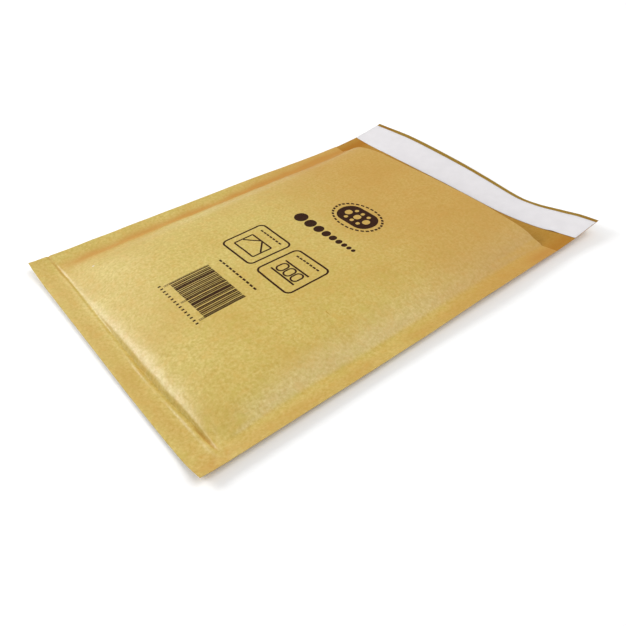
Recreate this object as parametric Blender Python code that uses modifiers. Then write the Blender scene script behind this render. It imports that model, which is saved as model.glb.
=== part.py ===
# Padded mailing envelope, open, lying on its back with the flap unfolded.
#
# One web of kraft paper makes the back panel, the bottom, the front panel and
# the flap. It is sealed to itself along both sides and in a band at the bottom.
# A pocket of bubble film lines it, and the flap carries a glue strip under a
# peel-off liner.
#
# Metres, +Z up. X runs across the envelope and Y from the bottom end to the
# flap's edge. The origin is on the resting plane under the middle of the outline.

import math

import bpy
import bmesh
from mathutils import Vector

MM = 0.001

# outline
WIDTH = 225 * MM
LENGTH = 320.7 * MM         # bottom end to the flap's edge
MOUTH = 270.5 * MM          # bottom end to the front panel's free edge
BOTTOM_BOW = 1.0 * MM       # how far the bottom end bows outwards

# layers
PAPER = 0.3 * MM
FILM = 3.2 * MM             # one layer of bubble film at its full height
CRUSHED_FILM = 0.25 * MM    # the same film where the seam squeezes it
CLEARANCE = 0.3 * MM        # between two pieces that touch

# seams
SIDE_SEAM = 10.5 * MM
BAND_LEFT = 15.2 * MM       # the sealed band along the bottom end
BAND_RIGHT = 14.8 * MM
BAND_MEAN = 15.0 * MM
LINING_INSET = 1.5 * MM     # from the kraft's seam to the edge of the film
CAVITY_INSET = 4.5 * MM     # from the edge of the film to the open pocket
LINING_SHORT = 3.0 * MM     # the film ends this far short of the mouth
FILM_RISE = 18 * MM         # the film reaches its full height over this distance

# pocket
POCKET_GAP = 5.6 * MM       # between the two layers of film, in the middle
MOUTH_GAP = 1.2 * MM        # added at the mouth
MOUTH_HUMP = 2.4 * MM       # added again where the mouth gapes most
MOUTH_HUMP_AT = 48 * MM
MOUTH_HUMP_REACH = 38 * MM
SIDE_SLOPE = 34 * MM        # the panels reach their full spread over this distance
BOTTOM_SLOPE = 24 * MM
MOUTH_SLOPE = 80 * MM

# how high the outline stands above the resting plane: (place, height)
RIGHT_EDGE = ((0, 5.2), (60, 4.8), (140, 4.6), (200, 6.0), (270.5, 5.6))
LEFT_EDGE = ((0, 6.4), (60, 5.2), (120, 4.0), (200, 2.4), (240, 1.8), (270.5, 2.6))
BOTTOM_EDGE = ((-112.5, 5.6), (-88, 2.8), (-50, 2.0), (0, 1.8), (60, 1.4), (92, 2.0), (112.5, 4.8))
FLAP_EDGE = ((-112.5, 8.6), (-60, 9.6), (-15, 7.2), (15, 4.2), (48, 0.4), (65, 1.6),
             (84, 5.2), (98, 7.6), (112.5, 9.4))
BOTTOM_OUTLINE = ((-112.5, 0), (-20, 0.5), (44, 1.0), (98, 0.7), (112.5, 0))
EDGE_FADE = 35 * MM         # the back panel lies flat this far in from the outline
FLAP_CURL = 1.6             # above 1 the flap lifts late, near its edge

# closure
LINER_START = 293 * MM      # from the bottom end
LINER_END = 317.4 * MM
GLUE_START = 297 * MM
GLUE_END = 313 * MM
LINER_THICKNESS = 0.25 * MM
GLUE_THICKNESS = 0.25 * MM
GLUE_SIDE_MARGIN = 4 * MM

HALF = WIDTH / 2
POCKET_HALF = HALF - SIDE_SEAM
LINING_HALF = POCKET_HALF - LINING_INSET
CAVITY_HALF = LINING_HALF - CAVITY_INSET
LINING_END = MOUTH - LINING_SHORT
Y_CENTRE = (LENGTH - BOTTOM_BOW) / 2
WARP_START = 48 * MM        # rows keep the band's slant this far in, then straighten
WARP_REACH = 100 * MM
WELD = 0.000002

# where the rows of faces run across the right half, from the middle outwards
ACROSS = tuple(n * MM for n in (0, 11, 22, 33, 44, 55, 66, 76, 84, 90.5))
# distances in from the bottom seam, and then from the bottom end
FROM_BAND = tuple(n * MM for n in (11, 17, 24, 34, 48))
ALONG_BAG = tuple(n * MM for n in (82, 108, 134, 160, 186, 208, 228, 244, 256))
ALONG_FLAP = tuple(n * MM for n in (275, 281, 288, 296, 304, 312))


def through(keys, place):
    # A smooth curve through a few (place, height) pairs given in millimetres.
    place = place / MM
    if place <= keys[0][0]:
        return keys[0][1] * MM
    if place >= keys[-1][0]:
        return keys[-1][1] * MM
    last = len(keys) - 1
    n = max(k for k in range(last) if keys[k][0] <= place)
    (x0, z0), (x1, z1) = keys[n], keys[n + 1]
    before = keys[max(n - 1, 0)]
    after = keys[min(n + 2, last)]
    step = x1 - x0
    slope0 = (z1 - before[1]) / (x1 - before[0]) * step
    slope1 = (after[1] - z0) / (after[0] - x0) * step
    t = (place - x0) / step
    height = ((2 * t ** 3 - 3 * t ** 2 + 1) * z0 + (t ** 3 - 2 * t ** 2 + t) * slope0
              + (3 * t ** 2 - 2 * t ** 3) * z1 + (t ** 3 - t ** 2) * slope1)
    return max(height, 0) * MM


def rise(distance, reach):
    # 0 at the edge, 1 beyond the reach, steepest at the edge.
    t = min(max(distance / reach, 0), 1)
    return 1 - (1 - t) ** 2


def fade(distance, reach):
    return 1 - rise(distance, reach)


def ease(distance, reach):
    t = min(max(distance / reach, 0), 1)
    return t * t * (3 - 2 * t)


def band_width(x):
    return BAND_LEFT + (BAND_RIGHT - BAND_LEFT) * (x + HALF) / WIDTH


def back_height(x, y):
    # The underside of the back panel and the flap.
    if y > MOUTH:
        lift = ((y - MOUTH) / (LENGTH - MOUTH)) ** FLAP_CURL
        return back_height(x, MOUTH) * (1 - lift) + through(FLAP_EDGE, x) * lift
    side = (through(LEFT_EDGE, y) * fade(x + HALF, EDGE_FADE)
            + through(RIGHT_EDGE, y) * fade(HALF - x, EDGE_FADE))
    bottom = through(BOTTOM_EDGE, x) * fade(y, EDGE_FADE)
    return (side ** 5 + bottom ** 5) ** 0.2


def film_height(x, y):
    edge = band_width(x) + LINING_INSET
    inner = rise(LINING_HALF - abs(x), FILM_RISE) * rise(y - edge, FILM_RISE)
    return CRUSHED_FILM + (FILM - CRUSHED_FILM) * inner


def gap_height(x, y):
    # The open space between the two layers of film.
    edge = band_width(x) + LINING_INSET + CAVITY_INSET
    hump = math.exp(-(((x - MOUTH_HUMP_AT) / MOUTH_HUMP_REACH) ** 2))
    near_mouth = ease(y - (MOUTH - MOUTH_SLOPE), MOUTH_SLOPE)
    full = POCKET_GAP + near_mouth * (MOUTH_GAP + MOUTH_HUMP * hump)
    return full * rise(CAVITY_HALF - abs(x), SIDE_SLOPE) * rise(y - edge, BOTTOM_SLOPE)


def pocket_height(x, y):
    # The space inside the kraft paper: nothing at the seam, then the two films.
    edge = band_width(x)
    opened = min(rise(POCKET_HALF - abs(x), LINING_INSET), rise(y - edge, LINING_INSET))
    if opened < 1e-6:
        return 0
    film = 2 * film_height(x, y) + 2 * CLEARANCE
    return opened * film + gap_height(x, y)


def stations_across(extra):
    # Places along X on both sides of the middle, with some of a piece's own.
    half = sorted(set(ACROSS) | set(extra))
    return [-n for n in reversed(half[1:])] + half


def place_along(nominal, x):
    # Carries a row drawn for the mean band width to the band's width at x.
    bow = through(BOTTOM_OUTLINE, x)
    width = band_width(x)
    if nominal <= BAND_MEAN:
        part = nominal / BAND_MEAN
        return -bow * (1 - part) + width * part
    return nominal + (width - BAND_MEAN) * (1 - ease(nominal - BAND_MEAN - WARP_START, WARP_REACH))


def skin(bm, across, along, height):
    # A grid of faces laid over the plan at a height given by a function.
    columns, rows = len(across) - 1, len(along) - 1
    made = bmesh.ops.create_grid(bm, x_segments=columns, y_segments=rows, size=1)
    for vert in made["verts"]:
        x = across[round((vert.co.x + 1) / 2 * columns)]
        nominal = along[round((vert.co.y + 1) / 2 * rows)]
        y = place_along(nominal, x)
        vert.co = Vector((x, y - Y_CENTRE, height(x, y)))


def wall(bm, plan, low, high):
    # A strip of faces that joins two heights along a line of (x, nominal y).
    made = bmesh.ops.create_grid(bm, x_segments=len(plan) - 1, y_segments=1, size=1)
    for vert in made["verts"]:
        x, nominal = plan[round((vert.co.x + 1) / 2 * (len(plan) - 1))]
        y = place_along(nominal, x)
        height = low if vert.co.y < 0 else high
        vert.co = Vector((x, y - Y_CENTRE, height(x, y)))


def close_up(bm):
    bmesh.ops.remove_doubles(bm, verts=bm.verts, dist=WELD)
    bmesh.ops.recalc_face_normals(bm, faces=bm.faces)


def add_object(name, bm, collection, colour, roughness):
    mesh = bpy.data.meshes.new(name)
    bm.to_mesh(mesh)
    bm.free()
    material = bpy.data.materials.new(name)
    material.use_nodes = True
    shader = material.node_tree.nodes["Principled BSDF"]
    shader.inputs["Base Color"].default_value = (*colour, 1)
    shader.inputs["Roughness"].default_value = roughness
    shader.inputs["Metallic"].default_value = 0
    mesh.materials.append(material)
    mesh.shade_smooth()
    mesh.set_sharp_from_angle(angle=0.6)
    made = bpy.data.objects.new(name, mesh)
    collection.objects.link(made)
    return made


def pouch(bm, across, along, open_across, open_along, levels):
    # Two layers sealed to each other on three sides and open at the last row.
    # Levels run upwards: outside, inside of the lower layer, inside of the
    # upper layer, outside. The inner two meet all round the open part.
    bottom, floor, ceiling, top = levels
    skin(bm, across, along, bottom)
    skin(bm, across, along, top)
    skin(bm, open_across, open_along, floor)
    skin(bm, open_across, open_along, ceiling)
    left = [(across[0], y) for y in along]
    right = [(across[-1], y) for y in along]
    bottom_end = [(x, along[0]) for x in across]
    for plan in (left, right, bottom_end):
        wall(bm, plan, bottom, floor)
        wall(bm, plan, floor, top)
    return [(x, along[-1]) for x in across]


def make_kraft(collection):
    def floor(x, y):
        return back_height(x, y) + PAPER

    def ceiling(x, y):
        return floor(x, y) + pocket_height(x, y)

    def top(x, y):
        return ceiling(x, y) + PAPER

    seam_rows = (0, BAND_MEAN / 2)
    open_rows = [BAND_MEAN]
    open_rows += [BAND_MEAN + n for n in (LINING_INSET, LINING_INSET + CAVITY_INSET) + FROM_BAND]
    open_rows += list(ALONG_BAG) + [LINING_END, MOUTH]
    open_columns = stations_across((CAVITY_HALF, LINING_HALF, POCKET_HALF))
    columns = [-HALF, -HALF + SIDE_SEAM / 2] + open_columns + [HALF - SIDE_SEAM / 2, HALF]

    bm = bmesh.new()
    bag_rows = list(seam_rows) + open_rows
    mouth_line = pouch(bm, columns, bag_rows, open_columns, open_rows,
                       (back_height, floor, ceiling, top))
    wall(bm, mouth_line, ceiling, top)

    flap_rows = [MOUTH] + list(ALONG_FLAP) + [LENGTH]
    skin(bm, columns, flap_rows, back_height)
    skin(bm, columns, flap_rows, floor)
    left = [(columns[0], y) for y in flap_rows]
    right = [(columns[-1], y) for y in flap_rows]
    flap_end = [(x, LENGTH) for x in columns]
    for plan in (left, right, flap_end):
        wall(bm, plan, back_height, floor)
    close_up(bm)
    return add_object("kraft_outer", bm, collection, (0.62, 0.40, 0.12), 0.62)


def make_lining(collection):
    def bottom(x, y):
        return back_height(x, y) + PAPER + CLEARANCE

    def floor(x, y):
        return bottom(x, y) + film_height(x, y)

    def ceiling(x, y):
        return floor(x, y) + gap_height(x, y)

    def top(x, y):
        return ceiling(x, y) + film_height(x, y)

    cavity_row = BAND_MEAN + LINING_INSET + CAVITY_INSET
    open_rows = [cavity_row] + [BAND_MEAN + n for n in FROM_BAND] + list(ALONG_BAG) + [LINING_END]
    rows = [BAND_MEAN + LINING_INSET] + open_rows
    open_columns = stations_across((CAVITY_HALF,))
    columns = [-LINING_HALF] + open_columns + [LINING_HALF]

    bm = bmesh.new()
    mouth_line = pouch(bm, columns, rows, open_columns, open_rows,
                       (bottom, floor, ceiling, top))
    wall(bm, mouth_line, bottom, floor)
    wall(bm, mouth_line, ceiling, top)
    close_up(bm)
    return add_object("bubble_lining", bm, collection, (0.80, 0.83, 0.85), 0.25)


def make_strip(name, collection, start, end, side_margin, lift, thickness, colour, roughness):
    # A thin strip that follows the flap's inner face.
    def height(x, y):
        return back_height(x, y) + PAPER + lift

    half = HALF - side_margin
    columns = [-half] + stations_across((POCKET_HALF,)) + [half]
    middle = (start + end) / 2
    bm = bmesh.new()
    skin(bm, columns, (start, middle, end), height)
    made = add_object(name, bm, collection, colour, roughness)
    solid = made.modifiers.new("thickness", "SOLIDIFY")
    solid.thickness = thickness
    solid.offset = 1
    return made


def main():
    for old in list(bpy.data.objects):
        bpy.data.objects.remove(old, do_unlink=True)
    collection = bpy.data.collections.new("padded_envelope")
    bpy.context.scene.collection.children.link(collection)

    make_kraft(collection)
    make_lining(collection)
    make_strip("adhesive_strip", collection, GLUE_START, GLUE_END, GLUE_SIDE_MARGIN,
               CLEARANCE, GLUE_THICKNESS, (0.78, 0.74, 0.60), 0.35)
    make_strip("release_liner", collection, LINER_START, LINER_END, CLEARANCE,
               2 * CLEARANCE + GLUE_THICKNESS, LINER_THICKNESS, (0.84, 0.84, 0.88), 0.45)


main()
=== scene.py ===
import math

import bpy
import bmesh
import numpy as np
from mathutils import Euler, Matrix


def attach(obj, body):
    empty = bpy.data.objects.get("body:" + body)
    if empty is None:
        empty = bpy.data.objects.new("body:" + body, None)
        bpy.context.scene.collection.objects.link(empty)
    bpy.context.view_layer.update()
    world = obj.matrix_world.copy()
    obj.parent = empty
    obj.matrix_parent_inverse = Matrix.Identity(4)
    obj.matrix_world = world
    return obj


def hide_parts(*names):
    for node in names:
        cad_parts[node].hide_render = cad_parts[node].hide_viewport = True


# A padded mailing envelope lying open on its back. Shapes are worked out in
# millimetres: x across from the middle, y up from the bottom end.

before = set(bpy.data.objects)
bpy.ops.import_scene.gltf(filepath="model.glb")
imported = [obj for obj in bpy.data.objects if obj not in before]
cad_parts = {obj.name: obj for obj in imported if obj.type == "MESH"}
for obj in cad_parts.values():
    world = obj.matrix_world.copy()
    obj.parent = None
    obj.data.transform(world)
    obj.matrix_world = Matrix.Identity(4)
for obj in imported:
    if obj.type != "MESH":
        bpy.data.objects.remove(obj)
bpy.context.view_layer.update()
mm = 0.001

# the bag as the CAD part has it
bag = {
    "half": 112.5, "length": 320.7, "mouth": 270.5, "yCentre": 159.85,
    "paper": 0.3, "film": 3.2, "crushedFilm": 0.25, "clearance": 0.3,
    "pocketHalf": 102, "liningHalf": 100.5, "cavityHalf": 96, "liningEnd": 267.5,
    "liningInset": 1.5, "cavityInset": 4.5, "filmRise": 18,
    "bandMean": 15, "warpStart": 48, "warpReach": 100,
    "pocketGap": 5.6, "mouthGap": 1.2, "mouthHump": 2.4, "humpAt": 48, "humpReach": 38,
    "sideSlope": 34, "bottomSlope": 24, "mouthSlope": 80, "edgeFade": 35, "flapCurl": 1.6,
    "rightEdge": ((0, 5.2), (60, 4.8), (140, 4.6), (200, 6.0), (270.5, 5.6)),
    "leftEdge": ((0, 6.4), (60, 5.2), (120, 4.0), (200, 2.4), (240, 1.8), (270.5, 2.6)),
    "bottomEdge": ((-112.5, 5.6), (-88, 2.8), (-50, 2.0), (0, 1.8), (60, 1.4), (92, 2.0), (112.5, 4.8)),
    "flapEdge": ((-112.5, 8.6), (-60, 9.6), (-15, 7.2), (15, 4.2), (48, 0.4), (65, 1.6), (84, 5.2),
                 (98, 7.6), (112.5, 9.4)),
    "bottomOutline": ((-112.5, 0), (-20, 0.5), (44, 1.0), (98, 0.7), (112.5, 0)),
    "bandEdge": ((-112.5, 15.2), (-80, 15.6), (-42, 14.6), (0, 13.9), (30, 13.4), (50, 13.7), (72, 14.8),
                 (90, 15.3), (112.5, 16.2)),
}


def through(keys, place):
    # a smooth curve through a few (place, height) pairs, never below zero
    at, high = (np.array(side, float) for side in zip(*keys))
    place = np.clip(place, at[0], at[-1])
    n = np.clip(np.searchsorted(at, place, side="right") - 1, 0, len(at) - 2)
    before, after = np.maximum(n - 1, 0), np.minimum(n + 2, len(at) - 1)
    step = at[n + 1] - at[n]
    leave = (high[n + 1] - high[before]) / (at[n + 1] - at[before]) * step
    arrive = (high[after] - high[n]) / (at[after] - at[n]) * step
    t = (place - at[n]) / step
    height = ((2 * t**3 - 3 * t**2 + 1) * high[n] + (t**3 - 2 * t**2 + t) * leave
              + (3 * t**2 - 2 * t**3) * high[n + 1] + (t**3 - t**2) * arrive)
    return np.maximum(height, 0)


def rise(distance, reach):
    # 0 at the edge, 1 beyond the reach, steepest at the edge
    return 1 - (1 - np.clip(distance / reach, 0, 1)) ** 2


def ease(distance, reach):
    t = np.clip(distance / reach, 0, 1)
    return t * t * (3 - 2 * t)


def bell(distance, width):
    return np.exp(-((distance / width) ** 2))


def softNoise(x, y, size, seed):
    # smooth random heights from -1 to 1, with lumps about one size across
    table = np.random.default_rng(seed).uniform(-1, 1, (64, 64))
    u, v = x / size + 640, y / size + 640
    i, j = np.floor(u).astype(int), np.floor(v).astype(int)
    fu, fv = u - i, v - j
    fu, fv = fu**3 * (fu * (fu * 6 - 15) + 10), fv**3 * (fv * (fv * 6 - 15) + 10)
    corner = [table[(i + a) % 64, (j + b) % 64] for a, b in ((0, 0), (1, 0), (0, 1), (1, 1))]
    return (corner[0] * (1 - fu) + corner[1] * fu) * (1 - fv) + (corner[2] * (1 - fu) + corner[3] * fu) * fv


def bandWidth(x):
    return through(bag["bandEdge"], x)


def placeAlong(nominal, x):
    # carries a row drawn for the mean band to the band's real width at x
    bow, width, mean = through(bag["bottomOutline"], x), bandWidth(x), bag["bandMean"]
    part = np.clip(nominal / mean, 0, 1)
    near = -bow * (1 - part) + width * part
    far = nominal + (width - mean) * (1 - ease(nominal - mean - bag["warpStart"], bag["warpReach"]))
    return np.where(nominal <= mean, near, far)


# what handling has left in the paper; change these for a fresher or a more worn bag
wear = {
    "ridge": 0.65, "ridgeOut": 1.7, "ridgeWidth": 1.0,       # the fold just outside the bottom seam
    "groove": 0.5, "grooveOut": 0.2, "grooveWidth": 0.5,     # and the sharp line inside that fold
    "quickRise": 1.8, "slowRise": 17.0, "quickShare": 0.16,  # how the panel swells up from the bottom seam
    "pressedSide": 9.0,                                      # how far in the side seams hold the film flat
    "slackLeft": 0.28, "slackRight": 0.28,                   # how much gentler the side slopes are
    "slackCorner": 0.5,                                      # and the bottom slope's left end
    "mouthLift": 0.5, "mouthLiftLeft": 2.4,                  # the mouth's edge standing up
    "flapCurl": 0.35,                                        # the flap's edge turned up
    "pulledIn": 3.2, "pulledUp": 1.6, "drop": 0.9,           # the flap's left end drawn in, along and down
    "mouthSeam": -2.5,                                       # the right seam wanders inwards near the mouth
    "mouthCorner": 5.5,                                      # and the mouth's right corner reaches upwards
    "sidePucker": 0.38, "bottomPucker": 0.30, "marginWave": 0.22,
    "panelWave": 0.45, "crumple": 0.07, "quilt": 0.05, "bubblePitch": 11.5,
    # x0, y0, x1, y1, depth, width of folds in the front panel
    "creases": (
        (86, 21.5, 101, 17.2, 0.35, 1.3),
        (52, 119, 98, 110, 0.75, 4.5),
        (70, 246, 104, 262, 0.25, 3.0),
        (-70, 262, -40, 240, 0.18, 4.0),
        (88, 40, 99, 22, 0.22, 2.0),
    ),
    # the same for the sealed margins, where both layers fold together
    "marginCreases": (
        (80, 14.7, 104, 15.9, 0.65, 0.8),
        (-122, 13.3, -86, 15.0, 0.60, 0.8),
        (102, 13.5, 113, 6.0, 0.30, 1.0),
        (98, 11, 106, -1, 0.28, 0.9),
        (92, 10, 97, -1, 0.20, 0.9),
        (104, 20, 113, 15, 0.25, 1.0),
    ),
}


def foldHeight(creases, x, y):
    # narrow valleys along short lines, fading towards both ends
    total = np.zeros_like(x, float)
    for x0, y0, x1, y1, depth, width in creases:
        dx, dy = x1 - x0, y1 - y0
        along = ((x - x0) * dx + (y - y0) * dy) / (dx * dx + dy * dy)
        kept = np.clip(along, 0, 1)
        away = np.hypot(x - x0 - kept * dx, y - y0 - kept * dy)
        total -= depth * np.exp(-((away / width) ** 1.4)) * (1 - np.abs(2 * kept - 1) ** 4)
    return total


def marginDetail(x, y):
    # ridge outside the bottom seam, slow waves in the sealed margins and their folds
    out = y - bandWidth(x)
    ridge = wear["ridge"] * bell(out + wear["ridgeOut"], wear["ridgeWidth"] * (1 + 0.6 * ease(x - 55, 35)))
    ridge = ridge * (0.75 + 0.35 * softNoise(x, y * 0, 24, 3) + 0.6 * ease(x - 45, 40))
    ridge = ridge * ease(bag["half"] - 3 - np.abs(x), 14)
    groove = wear["groove"] * bell(out + wear["grooveOut"], wear["grooveWidth"]) * ease(x + 110, 10)
    ridge = ridge - groove * (0.15 + 0.85 * ease(-x - 40, 50))
    edge = ease(np.abs(x) - bag["pocketHalf"] + 4, 8)
    wave = wear["marginWave"] * softNoise(x * 0.3, y, 15, 5) * edge
    wave = wave + wear["marginWave"] * softNoise(x, y * 0.3, 17, 6) * ease(-out + 2, 8)
    return ridge + wave + foldHeight(wear["marginCreases"], x, y)


def backHeight(x, y):
    # underside of the back panel and the flap
    side = (through(bag["leftEdge"], y) * (1 - rise(x + bag["half"], bag["edgeFade"]))
            + through(bag["rightEdge"], y) * (1 - rise(bag["half"] - x, bag["edgeFade"])))
    bottom = through(bag["bottomEdge"], x) * (1 - rise(y, bag["edgeFade"]))
    height = (side**5 + bottom**5) ** 0.2
    lift = np.clip((y - bag["mouth"]) / (bag["length"] - bag["mouth"]), 0, 1) ** bag["flapCurl"]
    height = height * (1 - lift) + through(bag["flapEdge"], x) * lift
    height = height + wear["flapCurl"] * ease(y - bag["length"] + 4.5, 9)
    height = height - wear["drop"] * ease(y - 270, 45) * ease(-x - 70, 42)
    return np.maximum(height + marginDetail(x, y) * (1 - lift), 0)


def filmHeight(x, y):
    edge = bandWidth(x) + bag["liningInset"]
    inner = rise(bag["liningHalf"] - np.abs(x), bag["filmRise"]) * rise(y - edge, bag["filmRise"])
    return bag["crushedFilm"] + (bag["film"] - bag["crushedFilm"]) * inner


def gapHeight(x, y):
    # the open space between the two films
    edge = bandWidth(x) + bag["liningInset"] + bag["cavityInset"]
    hump = bell(x - bag["humpAt"], bag["humpReach"])
    nearMouth = ease(y - (bag["mouth"] - bag["mouthSlope"]), bag["mouthSlope"])
    full = bag["pocketGap"] + nearMouth * (bag["mouthGap"] + bag["mouthHump"] * hump)
    return full * rise(bag["cavityHalf"] - np.abs(x), bag["sideSlope"]) * rise(y - edge, bag["bottomSlope"])


def quilt(x, y):
    # faint hexagonal swells where the bubbles press on the paper
    wave, total = 2 * math.pi / (wear["bubblePitch"] * 0.866), 0
    for turn in (0, 60, 120):
        total = total + np.cos(wave * (x * math.cos(math.radians(turn)) + y * math.sin(math.radians(turn))))
    return total / 3


def frontDetail(x, y):
    # puckers that run in from the seams, slow waves, crumples and folds
    side, bottom = bag["pocketHalf"] - np.abs(x), y - bandWidth(x)
    inside = ease(np.minimum(side, bottom), 3)
    sidePucker = softNoise(x * 0.35 + 90, y + side * 0.5, 11, 8) * bell(side - 7, 8)
    bottomPucker = softNoise(x - bottom * 0.3, y * 0.35, 12, 9) * bell(bottom - 7, 8)
    total = wear["sidePucker"] * sidePucker + wear["bottomPucker"] * bottomPucker
    total = total + wear["panelWave"] * softNoise(x, y, 52, 11) * ease(np.minimum(side, bottom), 40)
    total = total + wear["crumple"] * (softNoise(x, y, 9, 12) + softNoise(x, y, 21, 13))
    total = total + wear["quilt"] * quilt(x, y) * filmHeight(x, y) / bag["film"]
    total = total + wear["mouthLift"] * ease(y - bag["mouth"] + 22, 22)
    total = total + (wear["mouthLiftLeft"] * ease(y - bag["mouth"] + 60, 60)
                     * ease(x + 102, 22) * (1 - ease(x + 10, 65)))
    return (total + foldHeight(wear["creases"], x, y)) * inside


def swell(x, inward):
    # 0 at the bottom seam, 1 far in: a quick rise, quicker at the right end, and a slow one
    quick = wear["quickRise"] * (1 - 0.62 * ease(x - 15, 80))
    share = wear["quickShare"] * (0.45 + 0.55 * ease(x + 70, 90))
    return 1 - share * np.exp(-inward / quick) - (1 - share) * np.exp(-inward / wear["slowRise"])


def pocketHeight(x, y):
    # how far the front panel stands off the back one, with both films and the gap between them
    side, bottom = bag["pocketHalf"] - np.abs(x), y - bandWidth(x)
    slack = wear["slackCorner"] * ease(25 - x, 95) * (1 - ease(bottom, 60))
    inner = np.maximum(y, 60)
    slackSide = (wear["slackLeft"] * ease(-x - 20, 45)
                 + wear["slackRight"] * ease(x - 20, 45) * ease(bottom, 70))
    across = np.sign(x) * (bag["pocketHalf"] - side * (1 - slackSide))
    opened = np.minimum(rise(side, bag["liningInset"]), rise(bottom, bag["liningInset"]))
    opened = np.where(opened < 1e-6, 0, opened)
    films = 2 * filmHeight(across, inner) + 2 * bag["clearance"]
    atMouth = ease(y - bag["mouth"] + 45, 40)
    fullCorner = 0.6 * ease(x, 60) * (1 - ease(bottom - 6, 40))
    pressed = ease(side, wear["pressedSide"] * (1 - np.maximum(0.85 * atMouth, fullCorner)))
    full = opened * pressed * films + gapHeight(across, inner)
    full = full * swell(x, np.maximum(bottom, 0) * (1 - slack)) + frontDetail(x, y)
    return np.where(opened > 0, np.maximum(full, 0.02), 0)


def backInside(x, y):
    return backHeight(x, y) + bag["paper"]


def frontInside(x, y):
    return backInside(x, y) + pocketHeight(x, y)


def frontOutside(x, y):
    return frontInside(x, y) + bag["paper"]


def planned(x, y, z):
    # a point of the bag's plan as the bag really lies, in metres
    left, late = ease(-x - 40, 72), ease(y - 190, 100)
    shifted = x + wear["pulledIn"] * left * late + wear["mouthSeam"] * bell(x - 102, 9) * ease(y - 215, 50)
    moved = y - bag["yCentre"] + wear["pulledUp"] * left * ease(y - 262, 50)
    moved = moved + wear["mouthCorner"] * bell(x - 98, 24) * ease(y - 240, 30) * (1 - ease(y - 276, 30))
    return np.stack([np.minimum(shifted, bag["half"]), moved, z], -1) * mm


def gridSheet(across, along, height):
    # points and faces of a sheet laid over the plan, columns by rows
    nominal, x = np.meshgrid(along, across, indexing="ij")
    y = placeAlong(nominal, x)
    points = planned(x, y, height(x, y)).reshape(-1, 3)
    columns = len(across)
    first = (np.arange(len(along) - 1)[:, None] * columns + np.arange(columns - 1)).ravel()
    return points, np.stack([first, first + 1, first + columns + 1, first + columns], 1)


def edgeWall(across, along, low, high):
    # a strip that joins two heights along a line over the plan
    x, nominal = np.broadcast_arrays(np.array(across, float), np.array(along, float))
    y = placeAlong(nominal, x)
    rows = [planned(x, y, level(x, y)) for level in (low, high)]
    first = np.arange(len(x) - 1)
    return np.concatenate(rows), np.stack([first, first + 1, first + 1 + len(x), first + len(x)], 1)


def evenly(start, end, step, kept=()):
    # even places from start to end, the nearest of them moved onto the kept ones
    places = np.linspace(start, end, round((end - start) / step) + 1)
    for value in kept:
        places[np.abs(places - value).argmin()] = value
    return places


def makeObject(name, sheets, materials):
    # one object from (points, faces, material number) sheets, merged and turned outwards
    points, faces, numbers, count = [], [], [], 0
    for sheetPoints, sheetFaces, number in sheets:
        points.append(sheetPoints)
        faces.append(sheetFaces + count)
        numbers.append(np.full(len(sheetFaces), number))
        count += len(sheetPoints)
    mesh = bpy.data.meshes.new(name)
    mesh.from_pydata(np.concatenate(points).tolist(), [], np.concatenate(faces).tolist())
    mesh.polygons.foreach_set("material_index", np.concatenate(numbers).astype(np.int32))
    bm = bmesh.new()
    bm.from_mesh(mesh)
    bmesh.ops.remove_doubles(bm, verts=bm.verts, dist=2e-6)
    bmesh.ops.recalc_face_normals(bm, faces=bm.faces)
    bm.to_mesh(mesh)
    bm.free()
    mesh.shade_smooth()
    mesh.set_sharp_from_angle(angle=0.9)
    for material in materials:
        mesh.materials.append(material)
    made = bpy.data.objects.new(name, mesh)
    bpy.context.scene.collection.objects.link(made)
    return made


def freeze(made):
    # the evaluated mesh takes the place of the modifiers
    depsgraph = bpy.context.evaluated_depsgraph_get()
    mesh = bpy.data.meshes.new_from_object(made.evaluated_get(depsgraph))
    made.modifiers.clear()
    made.data = mesh


def toLinear(code):
    # an sRGB hex colour as the linear colour that a socket takes
    parts = [int(code[n:n + 2], 16) / 255 for n in (1, 3, 5)]
    return (*[c / 12.92 if c <= 0.04045 else ((c + 0.055) / 1.055) ** 2.4 for c in parts], 1)


def addNode(tree, kind, inputs=(), **settings):
    # a node with its settings; each input takes a value, a socket or another node
    made = tree.nodes.new(kind)
    for name, value in settings.items():
        setattr(made, name, value)
    for key, value in dict(inputs).items():
        if isinstance(value, bpy.types.Node):
            value = value.outputs[0]
        if isinstance(value, bpy.types.NodeSocket):
            tree.links.new(value, made.inputs[key])
        else:
            made.inputs[key].default_value = value
    return made


def newMaterial(name):
    material = bpy.data.materials.new(name)
    material.use_nodes = True
    tree = material.node_tree
    place = addNode(tree, "ShaderNodeTexCoord").outputs["Object"]
    scaled = addNode(tree, "ShaderNodeMapping", {"Vector": place, "Scale": (1000, 1000, 1000)})
    return material, tree, tree.nodes["Principled BSDF"], scaled    # scaled reads millimetres


# kraft paper, millimetres and sRGB colours
paper = {
    "colour": "#b29c44", "pale": "#d5c277", "deep": "#b8923a", "warm": "#c6a24c", "cool": "#bba94e",
    # painted shade: the brown here colours the far slope, the creases and the upper panel as if in shade, and
    # browns the margins; the inside tone is partly the unglazed side's colour and partly painted shade; the
    # rim tone is painted shade
    "fleck": "#8d6a2c", "ink": "#290f0b", "sealed": "#b5812f", "inside": "#e6d8b8", "rim": "#c6c598",
    "cloud": 1.9, "patch": 34, "stain": 6.5, "fibre": 0.42, "fibreLength": 5.0, "fleckPitch": 1.5,
    "roughness": 0.35, "shine": 0.48, "insideRoughness": 0.62, "insideShine": 0.2, "inkEdge": 0.05,
    # painted shade: the far slope, the margin creases and the upper panel are drawn browner as if in shade;
    # the near tint browns the near and bottom margins
    "farSlopeShade": 0.78, "nearTint": 0.36, "creaseShade": 0.75, "upperPanelShade": 0.58,  # how brown each place is
}

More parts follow.
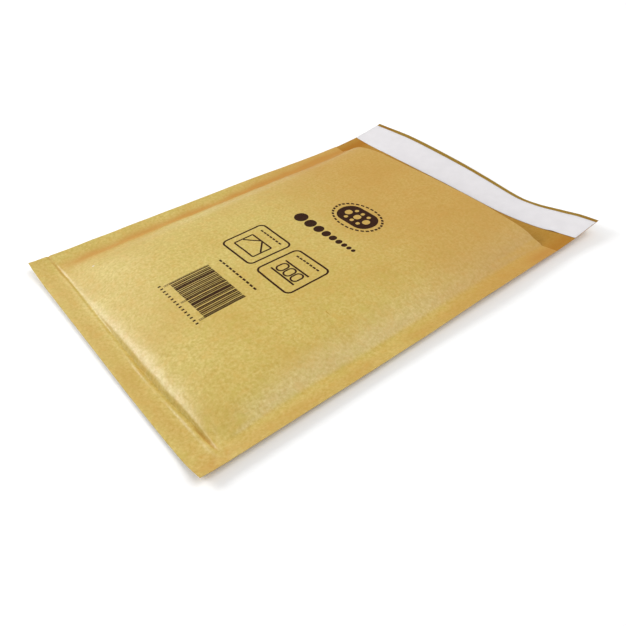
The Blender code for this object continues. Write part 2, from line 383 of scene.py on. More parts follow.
# The print stands in for a maker's: bubbles, plain pictograms, dashes and bars.
# Each mark: place, half size, corner radius, line width (0 is solid), turn, copies each way, pitch.
printed = {
    "marks": (
        # two boxed signs
        ((-20, 125), (17, 17), 4.0, 1.45, 0, 0, 1),
        ((20.5, 125), (17, 17), 4.0, 1.45, 0, 0, 1),
        ((-20, 137), (1.3, 0.7), 0.2, 0, 0, 3, 3.4),
        ((20.5, 137), (1.3, 0.7), 0.2, 0, 0, 3, 3.4),
        # a plain envelope in the first
        ((-20, 122), (11, 7.5), 0.8, 1.3, 0, 0, 1),
        ((-25.3, 125.4), (6.6, 0.65), 0.1, 0, -40, 0, 1),
        ((-14.7, 125.4), (6.6, 0.65), 0.1, 0, 40, 0, 1),
        # cushioning in the second: bubbles between two lines
        ((20.5, 128.4), (12, 0.7), 0.1, 0, 0, 0, 1),
        ((20.5, 116.6), (12, 0.7), 0.1, 0, 0, 0, 1),
        ((20.5, 122.5), (2.9, 4.2), 2.8, 1.3, 0, 1, 7.4),
        # a line of dashes and a row of blocks under the bars
        ((0, 96.3), (1.4, 0.75), 0.2, 0, 0, 5, 3.9),
        ((0, 52.8), (0.65, 1.0), 0.3, 0, 0, 7, 3.3),
        # a round badge and the guard bars
        ((0.5, 197.5), (17, 10), 9.9, 0, 0, 0, 1),
        ((-21.4, 71.5), (0.22, 16.5), 0.05, 0, 0, 0, 1),
        ((-20.4, 71.5), (0.22, 16.5), 0.05, 0, 0, 0, 1),
        ((0, 71.5), (0.22, 16.5), 0.05, 0, 0, 0, 1),
        ((0.9, 71.5), (0.22, 16.5), 0.05, 0, 0, 0, 1),
        ((21.1, 71.5), (0.22, 16.5), 0.05, 0, 0, 0, 1),
        ((22.1, 71.5), (0.22, 16.5), 0.05, 0, 0, 0, 1),
    ),
    "holes": (                                           # bare paper inside the badge
        ((0.5, 197.5), (2.8, 2.8), 2.7, 0, 0, 1, 9.2),
        ((0.5, 202.7), (1.5, 1.5), 1.4, 0, 0, 1, 6.2),
        ((0.5, 192.3), (1.5, 1.5), 1.4, 0, 0, 1, 6.2),
    ),
    "ring": {"place": (0.5, 197.5), "reach": (21, 14), "dashes": 30, "long": 1.25, "thick": 0.85},
    "discs": {"count": 9, "start": -26, "y": 168, "largest": 5.2, "shrink": 0.86, "gap": 0.9},
    "bars": {"place": (0.2, 73.2), "half": (21.8, 14.4), "pitch": 1.62, "least": 0.42, "most": 0.80,
             "seed": 12.0},
}


def markGroup():
    # distance in millimetres to a round-cornered box, solid or outlined, turned and repeated
    group = bpy.data.node_groups.new("printedMark", "ShaderNodeTree")
    for name, kind in (("place", "Vector"), ("centre", "Vector"), ("half", "Vector"), ("radius", "Float"),
                       ("line", "Float"), ("turn", "Float"), ("copies", "Float"), ("pitch", "Float")):
        group.interface.new_socket(name, in_out="INPUT", socket_type="NodeSocket" + kind)
    group.interface.new_socket("distance", in_out="OUTPUT", socket_type="NodeSocketFloat")
    given = addNode(group, "NodeGroupInput").outputs
    local = addNode(group, "ShaderNodeVectorMath", {0: given["place"], 1: given["centre"]},
                    operation="SUBTRACT")
    local = addNode(group, "ShaderNodeVectorRotate", {"Vector": local, "Angle": given["turn"]},
                    rotation_type="Z_AXIS")
    split = addNode(group, "ShaderNodeSeparateXYZ", {0: local})
    step = addNode(group, "ShaderNodeMath", {0: split.outputs[0], 1: given["pitch"]}, operation="DIVIDE")
    step = addNode(group, "ShaderNodeMath", {0: step}, operation="ROUND")
    least = addNode(group, "ShaderNodeMath", {0: given["copies"], 1: -1.0}, operation="MULTIPLY")
    step = addNode(group, "ShaderNodeMath", {0: step, 1: given["copies"]}, operation="MINIMUM")
    step = addNode(group, "ShaderNodeMath", {0: step, 1: least}, operation="MAXIMUM")
    shift = addNode(group, "ShaderNodeMath", {0: step, 1: given["pitch"]}, operation="MULTIPLY")
    x = addNode(group, "ShaderNodeMath", {0: split.outputs[0], 1: shift}, operation="SUBTRACT")
    local = addNode(group, "ShaderNodeCombineXYZ", {0: x, 1: split.outputs[1]})
    local = addNode(group, "ShaderNodeVectorMath", {0: local}, operation="ABSOLUTE")
    local = addNode(group, "ShaderNodeVectorMath", {0: local, 1: given["half"]}, operation="SUBTRACT")
    corner = addNode(group, "ShaderNodeCombineXYZ", {0: given["radius"], 1: given["radius"]})
    local = addNode(group, "ShaderNodeVectorMath", {0: local, 1: corner}, operation="ADD")
    local = addNode(group, "ShaderNodeVectorMath", {0: local, 1: (0, 0, 0)}, operation="MAXIMUM")
    length = addNode(group, "ShaderNodeVectorMath", {0: local}, operation="LENGTH").outputs["Value"]
    solid = addNode(group, "ShaderNodeMath", {0: length, 1: given["radius"]}, operation="SUBTRACT")
    outline = addNode(group, "ShaderNodeMath", {0: solid}, operation="ABSOLUTE")
    half = addNode(group, "ShaderNodeMath", {0: given["line"], 1: 0.5}, operation="MULTIPLY")
    outline = addNode(group, "ShaderNodeMath", {0: outline, 1: half}, operation="SUBTRACT")
    isLine = addNode(group, "ShaderNodeMath", {0: given["line"], 1: 0.001}, operation="GREATER_THAN")
    mixed = addNode(group, "ShaderNodeMix", {0: isLine, 2: solid, 3: outline})
    addNode(group, "NodeGroupOutput", {0: mixed})
    return group


def nearestMark(tree, group, place, marks):
    # the smallest distance to any of the marks
    nearest = None
    for centre, half, radius, line, turn, copies, pitch in marks:
        mark = addNode(tree, "ShaderNodeGroup", node_tree=group)
        tree.links.new(place.outputs[0], mark.inputs["place"])
        values = {"centre": (*centre, 0), "half": (*half, 0), "radius": radius, "line": line,
                  "turn": math.radians(turn), "copies": copies, "pitch": pitch}
        for name, value in values.items():
            mark.inputs[name].default_value = value
        if nearest:
            mark = addNode(tree, "ShaderNodeMath", {0: nearest, 1: mark}, operation="MINIMUM")
        nearest = mark
    return nearest


def inkMask(tree, place):
    # 1 where there is ink
    flat = addNode(tree, "ShaderNodeVectorMath", {0: place, 1: (1, 1, 0)}, operation="MULTIPLY")
    flat = addNode(tree, "ShaderNodeVectorMath", {0: flat, 1: (0, bag["yCentre"], 0)}, operation="ADD")
    group = markGroup()
    marks = list(printed["marks"])
    discs = printed["discs"]
    x, radius = discs["start"], discs["largest"]
    for _ in range(discs["count"]):
        marks.append(((x, discs["y"]), (radius, radius), radius - 0.01, 0, 0, 0, 1))
        x += radius * (1 + discs["shrink"]) + discs["gap"]
        radius *= discs["shrink"]
    ink = nearestMark(tree, group, flat, marks)
    holes = nearestMark(tree, group, flat, printed["holes"])
    holes = addNode(tree, "ShaderNodeMath", {0: holes, 1: -1.0}, operation="MULTIPLY")
    ink = addNode(tree, "ShaderNodeMath", {0: ink, 1: holes}, operation="MAXIMUM")
    # a ring of short dashes around the badge
    ring = printed["ring"]
    away = addNode(tree, "ShaderNodeVectorMath", {0: flat, 1: (*ring["place"], 0)}, operation="SUBTRACT")
    away = addNode(tree, "ShaderNodeVectorMath", {0: away, 1: (*ring["reach"], 1)}, operation="DIVIDE")
    radius = addNode(tree, "ShaderNodeVectorMath", {0: away}, operation="LENGTH").outputs["Value"]
    radius = addNode(tree, "ShaderNodeMath", {0: radius, 1: 1.0}, operation="SUBTRACT")
    radius = addNode(tree, "ShaderNodeMath", {0: radius}, operation="ABSOLUTE")
    mean = sum(ring["reach"]) / 2
    radius = addNode(tree, "ShaderNodeMath", {0: radius, 1: mean, 2: -ring["thick"]},
                     operation="MULTIPLY_ADD")
    split = addNode(tree, "ShaderNodeSeparateXYZ", {0: away})
    turn = addNode(tree, "ShaderNodeMath", {0: split.outputs[1], 1: split.outputs[0]}, operation="ARCTAN2")
    turn = addNode(tree, "ShaderNodeMath", {0: turn, 1: ring["dashes"] / (2 * math.pi)},
                   operation="MULTIPLY")
    turn = addNode(tree, "ShaderNodeMath", {0: turn}, operation="FRACT")
    turn = addNode(tree, "ShaderNodeMath", {0: turn, 1: 0.5}, operation="SUBTRACT")
    turn = addNode(tree, "ShaderNodeMath", {0: turn}, operation="ABSOLUTE")
    step = 2 * math.pi * mean / ring["dashes"]
    turn = addNode(tree, "ShaderNodeMath", {0: turn, 1: step, 2: -ring["long"]}, operation="MULTIPLY_ADD")
    dashes = addNode(tree, "ShaderNodeMath", {0: radius, 1: turn}, operation="MAXIMUM")
    ink = addNode(tree, "ShaderNodeMath", {0: ink, 1: dashes}, operation="MINIMUM")
    # bars: one in each pitch across the block, its width and place picked at random
    bars = printed["bars"]
    block = nearestMark(tree, group, flat, ((bars["place"], bars["half"], 0.05, 0, 0, 0, 1),))
    split = addNode(tree, "ShaderNodeSeparateXYZ", {0: flat})
    across = addNode(tree, "ShaderNodeMath", {0: split.outputs[0], 1: bars["pitch"]}, operation="DIVIDE")
    number = addNode(tree, "ShaderNodeMath", {0: across}, operation="FLOOR")
    number = addNode(tree, "ShaderNodeMath", {0: number, 1: bars["seed"]}, operation="ADD")
    chance = addNode(tree, "ShaderNodeTexWhiteNoise", {"W": number}, noise_dimensions="1D")
    picked = addNode(tree, "ShaderNodeSeparateColor", {0: chance.outputs["Color"]})
    middle = addNode(tree, "ShaderNodeMapRange", {0: picked.outputs[0], 3: 0.38, 4: 0.62})
    width = addNode(tree, "ShaderNodeMapRange", {0: picked.outputs[1], 3: bars["least"], 4: bars["most"]})
    away = addNode(tree, "ShaderNodeMath", {0: across}, operation="FRACT")
    away = addNode(tree, "ShaderNodeMath", {0: away, 1: middle}, operation="SUBTRACT")
    away = addNode(tree, "ShaderNodeMath", {0: away}, operation="ABSOLUTE")
    away = addNode(tree, "ShaderNodeMath", {0: away, 1: bars["pitch"]}, operation="MULTIPLY")
    bar = addNode(tree, "ShaderNodeMath", {0: away, 1: width}, operation="SUBTRACT")
    block = addNode(tree, "ShaderNodeMath", {0: block, 1: bar}, operation="MAXIMUM")
    ink = addNode(tree, "ShaderNodeMath", {0: ink, 1: block}, operation="MINIMUM")
    edge = paper["inkEdge"]
    return addNode(tree, "ShaderNodeMapRange", {0: ink, 1: edge, 2: -edge, 3: 0.0, 4: 1.0})


def kraftMaterial(name, glazed, withPrint, tone=None):
    # machine-glazed brown kraft, from noise at several sizes: cloudy pulp, fine fibres, dark flecks and a
    # dull shine; unglazed, it is rougher and darkened by the tone, which for the inside is partly its own
    # colour and partly painted shade, and for the rim is painted shade
    material, tree, shader, place = newMaterial(name)
    cloud = addNode(tree, "ShaderNodeTexNoise", {"Vector": place, "Scale": 1 / paper["cloud"], "Detail": 4.0,
                                                 "Roughness": 0.6})
    patch = addNode(tree, "ShaderNodeTexNoise", {"Vector": place, "Scale": 1 / paper["patch"], "Detail": 2.0})
    stretched = addNode(tree, "ShaderNodeMapping", {
        "Vector": place, "Scale": (1 / paper["fibre"], 1 / paper["fibreLength"], 1 / paper["fibre"])})
    fibre = addNode(tree, "ShaderNodeTexNoise", {"Vector": stretched, "Scale": 1.0, "Detail": 2.0,
                                                 "Distortion": 0.8})
    crossed = addNode(tree, "ShaderNodeMapping", {
        "Vector": place, "Rotation": (0, 0, 1.1),
        "Scale": (1 / paper["fibre"], 0.35, 1 / paper["fibre"])})
    across = addNode(tree, "ShaderNodeTexNoise", {"Vector": crossed, "Scale": 1.0, "Detail": 2.0,
                                                  "Distortion": 0.8})
    # pulp clouds, then broad patches, then fibres
    amount = addNode(tree, "ShaderNodeMapRange", {0: cloud, 1: 0.3, 2: 0.7, 3: 0.0, 4: 1.0})
    colour = addNode(tree, "ShaderNodeMix", {0: amount, 6: toLinear(paper["colour"]),
                                             7: toLinear(paper["pale"])}, data_type="RGBA")
    amount = addNode(tree, "ShaderNodeMapRange", {0: patch, 1: 0.35, 2: 0.75, 3: 0.0, 4: 0.5})
    colour = addNode(tree, "ShaderNodeMix", {0: amount, 6: colour.outputs[2], 7: toLinear(paper["deep"])},
                     data_type="RGBA")
    warm = addNode(tree, "ShaderNodeTexNoise", {"Vector": place, "Scale": 1 / paper["stain"], "Detail": 3.0,
                                                "Roughness": 0.65})
    for low, high, stain in ((0.5, 0.7, "warm"), (0.5, 0.3, "cool")):
        amount = addNode(tree, "ShaderNodeMapRange", {0: warm, 1: low, 2: high, 3: 0.0, 4: 0.5})
        colour = addNode(tree, "ShaderNodeMix", {0: amount, 6: colour.outputs[2], 7: toLinear(paper[stain])},
                         data_type="RGBA")
    threads = addNode(tree, "ShaderNodeMath", {0: fibre, 1: across}, operation="MULTIPLY")
    amount = addNode(tree, "ShaderNodeMapRange", {0: threads, 1: 0.2, 2: 0.38, 3: 0.0, 4: 0.32})
    colour = addNode(tree, "ShaderNodeMix", {0: amount, 6: colour.outputs[2], 7: toLinear(paper["deep"])},
                     data_type="RGBA")
    # scattered dark flecks of bark
    cells = addNode(tree, "ShaderNodeTexVoronoi", {"Vector": place, "Scale": 1 / paper["fleckPitch"]})
    speck = addNode(tree, "ShaderNodeMapRange", {0: cells, 1: 0.16, 2: 0.06, 3: 0.0, 4: 0.5})
    some = addNode(tree, "ShaderNodeMath", {0: cells.outputs["Color"], 1: 0.72}, operation="GREATER_THAN")
    speck = addNode(tree, "ShaderNodeMath", {0: speck, 1: some}, operation="MULTIPLY")
    colour = addNode(tree, "ShaderNodeMix", {0: speck, 6: colour.outputs[2], 7: toLinear(paper["fleck"])},
                     data_type="RGBA")
    # painted shade: the far slope, the margin creases and the upper panel are drawn browner as if in shade,
    # and the near and bottom margins are browner too; all of these are duller
    marginAndShade = addNode(tree, "ShaderNodeAttribute", attribute_name="marginAndShade").outputs["Fac"]
    colour = addNode(tree, "ShaderNodeMix", {0: marginAndShade, 6: colour.outputs[2], 7: toLinear(paper["sealed"])},
                     data_type="RGBA")
    plain = paper["roughness"] if glazed else paper["insideRoughness"]
    rough = addNode(tree, "ShaderNodeMapRange", {0: cloud, 1: 0.3, 2: 0.7, 3: plain + 0.06, 4: plain - 0.04})
    dull = addNode(tree, "ShaderNodeMath", {0: marginAndShade, 1: 0.3}, operation="MULTIPLY")
    rough = addNode(tree, "ShaderNodeMath", {0: rough, 1: dull}, operation="ADD")
    shader.inputs["Specular IOR Level"].default_value = paper["shine"] if glazed else paper["insideShine"]
    # the tone darkens the colour: partly the unglazed side's own colour, partly painted shade
    if not glazed:
        colour = addNode(tree, "ShaderNodeMix", {0: 1.0, 6: colour.outputs[2], 7: toLinear(tone)},
                         data_type="RGBA", blend_type="MULTIPLY")
    if withPrint:
        ink = inkMask(tree, place)
        # the ink soaks in unevenly, so a little paper shows through
        soak = addNode(tree, "ShaderNodeMapRange", {0: across, 1: 0.25, 2: 0.75, 3: 0.96, 4: 1.0})
        ink = addNode(tree, "ShaderNodeMath", {0: ink, 1: soak}, operation="MULTIPLY")
        colour = addNode(tree, "ShaderNodeMix", {0: ink, 6: colour.outputs[2], 7: toLinear(paper["ink"])},
                         data_type="RGBA")
        shine = addNode(tree, "ShaderNodeMapRange", {0: ink, 1: 0.0, 2: 1.0, 3: paper["shine"], 4: 0.05})
        tree.links.new(shine.outputs[0], shader.inputs["Specular IOR Level"])
    tree.links.new(colour.outputs[2], shader.inputs["Base Color"])
    tree.links.new(rough.outputs[0], shader.inputs["Roughness"])
    # relief in millimetres: pulp clouds, fibres
    soft = addNode(tree, "ShaderNodeMath", {0: cloud, 1: 0.035}, operation="MULTIPLY")
    fine = addNode(tree, "ShaderNodeMath", {0: threads, 1: 0.02}, operation="MULTIPLY")
    relief = addNode(tree, "ShaderNodeMath", {0: soft, 1: fine}, operation="ADD")
    bump = addNode(tree, "ShaderNodeBump", {"Height": relief, "Distance": mm, "Strength": 1.0})
    tree.links.new(bump.outputs[0], shader.inputs["Normal"])
    return material


def sealedTint(x, y):
    # how much browner each point is drawn: painted shade along the far slope, in the margin creases and over
    # the upper panel, and a faint browning of the near and bottom margins
    wander = 1.4 * softNoise(x * 0, y, 13, 34)
    # painted shade along the far slope, which faces away from the light
    far = bell(x + 99.3 + wander, 4.2) + 0.45 * bell(x + 97, 8)
    far = paper["farSlopeShade"] * far * ease(y - 13, 8) * (0.75 + 0.35 * softNoise(x, y, 18, 31))
    near = paper["nearTint"] * bell(x - 108, 6) * (0.7 + 0.5 * softNoise(x, y, 22, 32))
    bottom = paper["nearTint"] * bell(y - bandWidth(x) + 9, 5) * (0.7 + 0.6 * softNoise(x, y, 24, 33))
    # painted shade: the panel drawn browner towards the mouth, standing in for the light falling off there
    upper = paper["upperPanelShade"] * ease(y - 130, 110)
    # painted shade in the folds of the margins
    cracks = -paper["creaseShade"] * foldHeight(wear["marginCreases"], x, y)
    return np.clip(far + near + bottom + upper + cracks, 0, 1)


def makeKraft():
    # the paper pouch and flap as one folded piece, with its inside
    seams = (-bag["pocketHalf"], -bag["liningHalf"], bag["liningHalf"], bag["pocketHalf"])
    columns = evenly(-bag["half"], bag["half"], 1.45, seams)
    openColumns = columns[np.abs(columns) <= bag["pocketHalf"] + 0.001]
    mean = bag["bandMean"]
    bandRows = np.concatenate([evenly(0, mean - 6, 1.5)[:-1], evenly(mean - 6, mean, 0.5)])
    openRows = np.concatenate([evenly(mean, mean + 6, 0.5, (mean + 1.5,))[:-1],
                               evenly(mean + 6, bag["mouth"], 1.45, (bag["liningEnd"],))])
    innerRows = np.concatenate([openRows[openRows < mean + 6][::2], openRows[openRows >= mean + 6][::4],
                                [bag["mouth"]]])
    bagRows = np.concatenate([bandRows[:-1], openRows])
    flapRows = evenly(bag["mouth"], bag["length"], 1.5)
    rimRows = flapRows[-3:]
    front, outside, inside, rim = 0, 1, 2, 3
    sheets = [
        (*gridSheet(columns, bagRows, frontOutside), front),
        (*gridSheet(columns, bagRows, backHeight), outside),
        (*gridSheet(columns, flapRows, backHeight), outside),
        (*gridSheet(columns, flapRows[:-2], backInside), inside),
        (*gridSheet(columns, rimRows, backInside), rim),
        (*gridSheet(openColumns, innerRows, backInside), inside),
        (*gridSheet(openColumns, innerRows, frontInside), inside),
        (*edgeWall(columns, bag["mouth"], frontInside, frontOutside), inside),
        (*edgeWall(columns, bag["length"], backHeight, backInside), rim),
        (*edgeWall(columns, 0, backHeight, frontOutside), outside),
    ]
    for x in (-bag["half"], bag["half"]):
        sheets.append((*edgeWall(x, bagRows, backHeight, frontOutside), outside))
        sheets.append((*edgeWall(x, flapRows, backHeight, backInside), inside))
    materials = [kraftMaterial("printed glazed kraft", True, True),
                 kraftMaterial("plain glazed kraft", True, False),
                 # the inside tone darkens the unglazed paper, partly for its own colour and partly as painted
                 # shade behind the mouth
                 kraftMaterial("unglazed and shaded inside of kraft", False, False, paper["inside"]),
                 # painted shade: the rim's tone darkens the flap's edge as if in shade
                 kraftMaterial("shaded rim of kraft", False, False, paper["rim"])]
    made = makeObject("kraftPouch", sheets, materials)
    place = np.zeros(len(made.data.vertices) * 3, np.float32)
    made.data.vertices.foreach_get("co", place)
    x, y = place.reshape(-1, 3)[:, 0] / mm, place.reshape(-1, 3)[:, 1] / mm + bag["yCentre"]
    # painted shade and browner margins, kept per point for the paper's colour
    marginAndShade = made.data.attributes.new("marginAndShade", "FLOAT", "POINT")
    marginAndShade.data.foreach_set("value", sealedTint(x, y).astype(np.float32))
    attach(made, "root")
    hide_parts("kraft_outer")
    print("kraft pouch:", len(made.data.polygons), "faces")
    return made


# bubble film, millimetres
lining = {"pitch": 11.5, "dome": 9.6, "gridStep": 3.0, "filmThickness": 0.08, "fill": 0.35,
          "firstColumn": 7, "firstRow": 34, "colour": "#eceff0", "rimColour": "#ffffff",
          "cover": 0.82, "roughness": 0.3}


def filmMaterial():
    # milky polyethylene: a little paper shows through, and each bubble's rim is a pale ring
    material, tree, shader, place = newMaterial("blown polyethylene film")
    haze = addNode(tree, "ShaderNodeTexNoise", {"Vector": place, "Scale": 0.25, "Detail": 3.0})
    rough = addNode(tree, "ShaderNodeMapRange", {0: haze, 1: 0.3, 2: 0.7, 3: lining["roughness"] - 0.05,
                                                 4: lining["roughness"] + 0.08})
    # distance to the nearest bubble: two square-cornered lattices, one between the other's points
    pitch = lining["pitch"]
    cell = (pitch, pitch * math.sqrt(3), 1)
    nearest = None
    for shift in (0, 0.5):
        start = (lining["firstColumn"] - bag["liningHalf"] + shift * pitch,
                 lining["firstRow"] - bag["yCentre"] + shift * cell[1], 0)
        local = addNode(tree, "ShaderNodeVectorMath", {0: place, 1: start}, operation="SUBTRACT")
        local = addNode(tree, "ShaderNodeVectorMath", {0: local, 1: cell}, operation="DIVIDE")
        whole = addNode(tree, "ShaderNodeVectorMath", {0: local, 1: (0.5, 0.5, 0.5)}, operation="ADD")
        whole = addNode(tree, "ShaderNodeVectorMath", {0: whole}, operation="FLOOR")
        local = addNode(tree, "ShaderNodeVectorMath", {0: local, 1: whole}, operation="SUBTRACT")
        local = addNode(tree, "ShaderNodeVectorMath", {0: local, 1: (cell[0], cell[1], 0)},
                        operation="MULTIPLY")
        away = addNode(tree, "ShaderNodeVectorMath", {0: local}, operation="LENGTH").outputs["Value"]
        if nearest:
            away = addNode(tree, "ShaderNodeMath", {0: nearest, 1: away}, operation="MINIMUM")
        nearest = away
    rim = addNode(tree, "ShaderNodeMath", {0: nearest, 1: lining["dome"] / 2}, operation="SUBTRACT")
    rim = addNode(tree, "ShaderNodeMath", {0: rim}, operation="ABSOLUTE")
    rim = addNode(tree, "ShaderNodeMapRange", {0: rim, 1: 0.8, 2: 0.2, 3: 0.0, 4: 1.0})
    colour = addNode(tree, "ShaderNodeMix", {0: rim, 6: toLinear(lining["colour"]),
                                             7: toLinear(lining["rimColour"])}, data_type="RGBA")
    alpha = addNode(tree, "ShaderNodeMapRange", {0: rim, 1: 0.0, 2: 1.0, 3: lining["cover"], 4: 0.95})
    tree.links.new(colour.outputs[2], shader.inputs["Base Color"])
    tree.links.new(alpha.outputs[0], shader.inputs["Alpha"])
    tree.links.new(rough.outputs[0], shader.inputs["Roughness"])
    shader.inputs["IOR"].default_value = 1.3
    soft = addNode(tree, "ShaderNodeMath", {0: haze, 1: 0.05}, operation="MULTIPLY")
    relief = addNode(tree, "ShaderNodeMath", {0: rim, 1: 0.12, 2: soft}, operation="MULTIPLY_ADD")
    bump = addNode(tree, "ShaderNodeBump", {"Height": relief, "Distance": mm, "Strength": 1.0})
    tree.links.new(bump.outputs[0], shader.inputs["Normal"])
    return material


def bubbleTree():
    # domes on the points of a mesh, as high as "rise" says, along "facing"
    tree = bpy.data.node_groups.new("bubbles", "GeometryNodeTree")
    for name, kind in (("points", "Geometry"), ("dome radius", "Float"), ("surface", "Material")):
        tree.interface.new_socket(name, in_out="INPUT", socket_type="NodeSocket" + kind)
    tree.interface.new_socket("bubbles", in_out="OUTPUT", socket_type="NodeSocketGeometry")
    given = addNode(tree, "NodeGroupInput").outputs
    ball = addNode(tree, "GeometryNodeMeshUVSphere", {"Segments": 10, "Rings": 6, "Radius": 1.0})
    height = addNode(tree, "ShaderNodeSeparateXYZ", {0: addNode(tree, "GeometryNodeInputPosition")})
    under = addNode(tree, "FunctionNodeCompare", {0: height.outputs[2], 1: -0.01}, operation="LESS_THAN")
    dome = addNode(tree, "GeometryNodeDeleteGeometry", {"Geometry": ball.outputs["Mesh"], "Selection": under})
    tall = addNode(tree, "GeometryNodeInputNamedAttribute", {"Name": "rise"}, data_type="FLOAT")
    size = addNode(tree, "ShaderNodeCombineXYZ", {0: given["dome radius"], 1: given["dome radius"],
                                                  2: tall.outputs[0]})
    facing = addNode(tree, "GeometryNodeInputNamedAttribute", {"Name": "facing"}, data_type="FLOAT_VECTOR")
    turned = addNode(tree, "FunctionNodeAlignRotationToVector", {"Vector": facing}, axis="Z")
    placed = addNode(tree, "GeometryNodeInstanceOnPoints", {"Points": given["points"], "Instance": dome,
                                                            "Rotation": turned, "Scale": size})
    real = addNode(tree, "GeometryNodeRealizeInstances", {0: placed})
    smooth = addNode(tree, "GeometryNodeSetShadeSmooth", {0: real})
    done = addNode(tree, "GeometryNodeSetMaterial", {"Geometry": smooth, "Material": given["surface"]})
    addNode(tree, "NodeGroupOutput", {0: done})
    return tree


def makeLining():
    # two layers of bubble film: smooth film towards the pocket, domes towards the paper
    material = filmMaterial()

    def filmRoom(x, y):
        # each film with its bubbles, or less where the paper presses them flat
        return np.minimum(bag["clearance"] + filmHeight(x, y), 0.48 * pocketHeight(x, y))

    def lowerFilm(x, y):
        return backInside(x, y) + filmRoom(x, y)

    def upperFilm(x, y):
        return frontInside(x, y) - filmRoom(x, y)

    inset = bag["bandMean"] + bag["liningInset"]
    columns = evenly(-bag["liningHalf"], bag["liningHalf"], lining["gridStep"])
    rows = evenly(inset, bag["liningEnd"], lining["gridStep"])
    sheets = [(*gridSheet(columns, rows, lowerFilm), 0), (*gridSheet(columns, rows, upperFilm), 0)]
    for x in (-bag["liningHalf"], bag["liningHalf"]):
        sheets.append((*edgeWall(x, rows, lowerFilm, upperFilm), 0))
    sheets.append((*edgeWall(columns, inset, lowerFilm, upperFilm), 0))
    made = makeObject("bubbleLining", sheets, [material])
    solid = made.modifiers.new("thickness", "SOLIDIFY")
    solid.thickness = lining["filmThickness"] * mm
    freeze(made)

    # hexagonal rows of dome centres on each film
    pitch, points, heights, normals = lining["pitch"], [], [], []
    rowStep = pitch * math.sqrt(3) / 2
    for n, y in enumerate(np.arange(lining["firstRow"], bag["liningEnd"] - 5, rowStep)):
        start = lining["firstColumn"] - bag["liningHalf"] + (n % 2) * pitch / 2
        x = np.arange(start, bag["liningHalf"] - 6, pitch)
        y = np.full_like(x, y)
        kept = filmHeight(x, y) > 0.72 * bag["film"]
        x, y = x[kept], y[kept]
        tall = filmHeight(x, y) - 0.6
        for film, side in ((lowerFilm, -1), (upperFilm, 1)):
            points.append(planned(x, y, film(x, y)))
            heights.append(tall * mm)
            slopeX, slopeY = film(x + 1, y) - film(x - 1, y), film(x, y + 1) - film(x, y - 1)
            normals.append(side * np.stack([-slopeX / 2, -slopeY / 2, np.ones_like(x)], 1))
    mesh = bpy.data.meshes.new("bubbles")
    mesh.from_pydata(np.concatenate(points).tolist(), [], [])
    rises = mesh.attributes.new("rise", "FLOAT", "POINT")
    rises.data.foreach_set("value", np.concatenate(heights).astype(np.float32))
    facing = mesh.attributes.new("facing", "FLOAT_VECTOR", "POINT")
    facing.data.foreach_set("vector", np.concatenate(normals).astype(np.float32).ravel())
    bubbles = bpy.data.objects.new("bubbles", mesh)
    bpy.context.scene.collection.objects.link(bubbles)
    tree = bubbleTree()
    nodes = bubbles.modifiers.new("bubbles", "NODES")
    nodes.node_group = tree
    values = {"dome radius": lining["dome"] / 2 * mm, "surface": material}
    for item in tree.interface.items_tree:
        if item.in_out == "INPUT" and item.name in values:
            nodes[item.identifier] = values[item.name]
    freeze(bubbles)

    bm = bmesh.new()
    bm.from_mesh(made.data)
    bm.from_mesh(bubbles.data)
    bm.to_mesh(made.data)
    bm.free()
    bpy.data.objects.remove(bubbles)
    made.data.shade_smooth()
    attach(made, "root")
    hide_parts("bubble_lining")
    print("bubble lining:", len(made.data.polygons), "faces,", sum(map(len, heights)), "bubbles")
    return made


# the closure on the flap, millimetres
closure = {
    "glueStart": 297, "glueEnd": 313, "glueMargin": 4, "glueThickness": 0.25, "glueColour": "#d9c48a",
    "linerStart": 293, "linerEnd": 317.7, "linerThickness": 0.1, "linerColour": "#dddadc",
    "linerWave": 0.22, "linerRoughness": 0.38,
}


def glueHeight(x, y):
    return backInside(x, y) + 0.03


def linerHeight(x, y):
    # the liner lies on the glue, lifts a little at its edges and has a small kink
    edge = np.minimum(y - closure["linerStart"], closure["linerEnd"] - y)
    lift = closure["linerWave"] * (1 - ease(edge, 6)) * (0.5 + 0.5 * softNoise(x, y * 0.4, 14, 21))
    kink = 0.5 * bell(x - 95, 5) * (1 - ease(y - closure["linerStart"], 9))
    overGlue = 0.28 * ease(edge - 1.5, 3)
    return backInside(x, y) + 0.06 + overGlue + lift + kink + 0.04 * (1 + softNoise(x, y, 8, 22))


def stripMaterial(name, colour, roughness, grain, clear):
    # a smooth strip whose tone and shine wander a little
    material, tree, shader, place = newMaterial(name)
    cloud = addNode(tree, "ShaderNodeTexNoise", {"Vector": place, "Scale": grain, "Detail": 4.0})
    dark = tuple(0.94 * c for c in toLinear(colour)[:3]) + (1,)
    amount = addNode(tree, "ShaderNodeMapRange", {0: cloud, 1: 0.3, 2: 0.7, 3: 0.0, 4: 1.0})
    mixed = addNode(tree, "ShaderNodeMix", {0: amount, 6: toLinear(colour), 7: dark}, data_type="RGBA")
    rough = addNode(tree, "ShaderNodeMapRange", {0: cloud, 1: 0.3, 2: 0.7, 3: roughness - 0.05,
                                                 4: roughness + 0.06})
    relief = addNode(tree, "ShaderNodeMath", {0: cloud, 1: 0.05}, operation="MULTIPLY")
    bump = addNode(tree, "ShaderNodeBump", {"Height": relief, "Distance": mm, "Strength": 1.0})
    tree.links.new(mixed.outputs[2], shader.inputs["Base Color"])
    tree.links.new(rough.outputs[0], shader.inputs["Roughness"])
    tree.links.new(bump.outputs[0], shader.inputs["Normal"])
    shader.inputs["Transmission Weight"].default_value = clear
    return material


def makeStrip(name, columns, rows, height, thickness, material):
    made = makeObject(name, [(*gridSheet(columns, rows, height), 0)], [material])
    solid = made.modifiers.new("thickness", "SOLIDIFY")
    solid.thickness = thickness * mm
    solid.offset = 1
    freeze(made)
    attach(made, "root")
    print(name + ":", len(made.data.polygons), "faces")
    return made


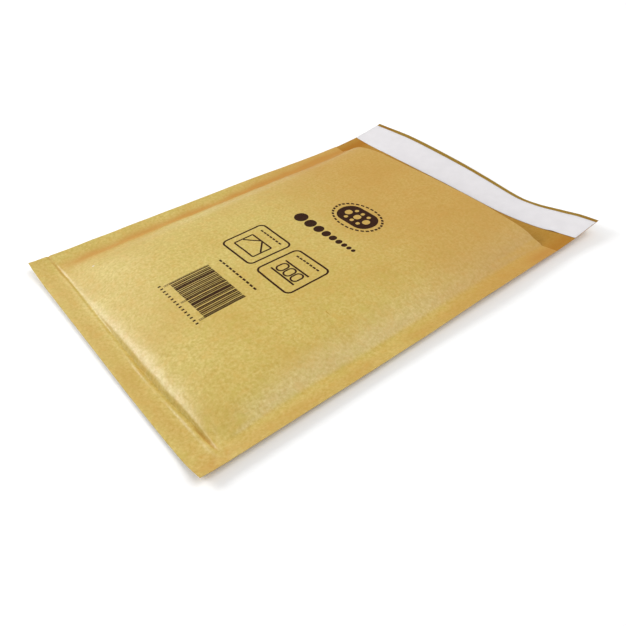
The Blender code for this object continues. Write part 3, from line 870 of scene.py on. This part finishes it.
def makeClosure():
    half = bag["half"]
    glueColumns = evenly(-half + closure["glueMargin"], half - closure["glueMargin"], 3)
    glueRows = evenly(closure["glueStart"], closure["glueEnd"], 2)
    glue = makeStrip("adhesiveStrip", glueColumns, glueRows, glueHeight, closure["glueThickness"],
                     stripMaterial("hot-melt glue", closure["glueColour"], 0.2, 0.3, 0.25))
    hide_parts("adhesive_strip")
    linerRows = evenly(closure["linerStart"], closure["linerEnd"], 1.2)
    siliconed = stripMaterial("siliconed paper", closure["linerColour"], closure["linerRoughness"], 0.12, 0.0)
    liner = makeStrip("releaseLiner", evenly(-half, half, 1.5), linerRows, linerHeight,
                      closure["linerThickness"], siliconed)
    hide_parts("release_liner")


# the studio: a white floor, a white world, three soft lights and the camera
studio = {
    "floor": "#f7f7f7", "floorHalf": 6.0, "floorDrop": 0.0002, "world": 0.47,
    "key": {"toward": (0.40, 0.46, 0.80), "distance": 3.0, "size": 2.8, "power": 57.5},
    "side": {"toward": (-0.84, -0.02, 0.54), "distance": 2.5, "size": 1.3, "power": 6.0},
    "fill": {"toward": (-0.62, -0.55, 0.50), "distance": 1.3, "size": 0.6, "power": 8.6},
    "camera": {"place": (0.29075, -0.2221, 0.25596), "turn": (49.626, 2.31, 51.334), "sensor": 36,
               "lens": 36.93},
}


def makeStudio():
    mesh = bpy.data.meshes.new("floor")
    reach = studio["floorHalf"]
    corners = [(-reach, -reach, 0), (reach, -reach, 0), (reach, reach, 0), (-reach, reach, 0)]
    mesh.from_pydata(corners, [], [(0, 1, 2, 3)])
    floor = bpy.data.objects.new("floor", mesh)
    bpy.context.scene.collection.objects.link(floor)
    floor.location.z = -studio["floorDrop"]
    material = bpy.data.materials.new("studio floor")
    material.use_nodes = True
    shader = material.node_tree.nodes["Principled BSDF"]
    shader.inputs["Base Color"].default_value = toLinear(studio["floor"])
    shader.inputs["Roughness"].default_value = 0.9
    shader.inputs["Specular IOR Level"].default_value = 0.0
    mesh.materials.append(material)
    for name in ("key", "side", "fill"):
        values = studio[name]
        lamp = bpy.data.lights.new(name, "AREA")
        lamp.shape, lamp.size, lamp.energy = "DISK", values["size"], values["power"]
        made = bpy.data.objects.new(name, lamp)
        made.location = [c * values["distance"] for c in values["toward"]]
        made.rotation_euler = made.location.to_track_quat("Z", "Y").to_euler()
        bpy.context.scene.collection.objects.link(made)
    world = bpy.data.worlds.new("studio")
    world.use_nodes = True
    world.node_tree.nodes["Background"].inputs["Color"].default_value = (1, 1, 1, 1)
    world.node_tree.nodes["Background"].inputs["Strength"].default_value = studio["world"]
    bpy.context.scene.world = world
    bpy.context.scene.view_settings.view_transform = "Standard"


def makeCamera():
    values = studio["camera"]
    lens = bpy.data.cameras.new("camera")
    lens.sensor_width, lens.lens = values["sensor"], values["lens"]
    camera = bpy.data.objects.new("camera", lens)
    camera.location = values["place"]
    camera.rotation_euler = Euler([math.radians(angle) for angle in values["turn"]])
    bpy.context.scene.collection.objects.link(camera)
    bpy.context.scene.camera = camera


makeKraft()
makeLining()
makeClosure()
makeStudio()
makeCamera()
print("studio and camera ready")
